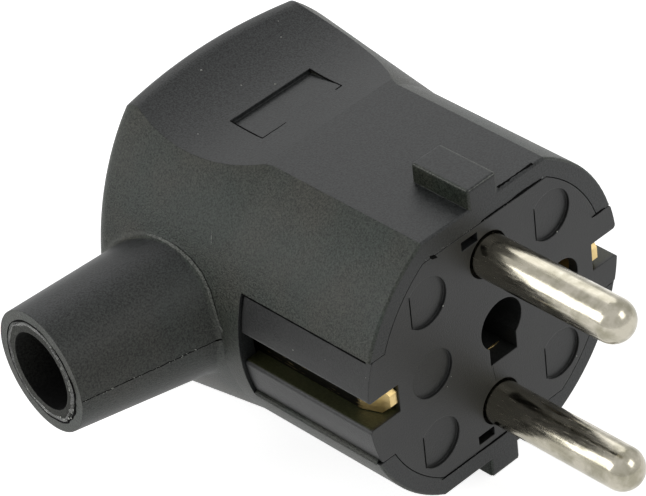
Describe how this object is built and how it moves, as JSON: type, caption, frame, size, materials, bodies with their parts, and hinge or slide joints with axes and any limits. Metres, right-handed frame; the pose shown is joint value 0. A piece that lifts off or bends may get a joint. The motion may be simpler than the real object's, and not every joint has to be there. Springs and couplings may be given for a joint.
{
  "type": "type f plug",
  "caption": "Right-angle earthed mains plug with round pins, an earth hole, side earth strips, coding ribs, a flared grip end and a cable sleeve.",
  "frame": {"origin": "midway between the two pins, in the plane of the pin face", "axes": "the pins point to -Y, the cable sleeve to -X, and the label side is up, +Z"},
  "size_m": [0.0539, 0.0594, 0.037],
  "materials": {
    "grey_shell": "fine matte grain, satin on the label side",
    "grey_insert": "fine matte grain",
    "nickel": "bright nickel plate over brass",
    "brass": "dull rolled",
    "soft_lining": "matte",
    "steel": "zinc plated"
  },
  "bodies": {
    "root": {"housing": "grey_shell", "contact_carrier": "grey_insert", "pin_line": "nickel", "pin_neutral": "nickel", "earth_bow": "brass", "cable_bush": "soft_lining", "pin_retainer": "grey_insert", "earth_socket": "brass", "terminal_screw_line": "steel", "terminal_screw_neutral": "steel", "saddle_washer_line": "steel", "saddle_washer_neutral": "steel", "earth_screw": "steel", "earth_washer": "steel", "earth_nut": "steel", "centre_screw": "steel", "centre_insert": "brass", "cable_clamp": "grey_insert", "clamp_screw_upper": "steel", "clamp_screw_lower": "steel", "retainer_screw_left": "steel", "retainer_screw_right": "steel"}
  },
  "joints": []
}
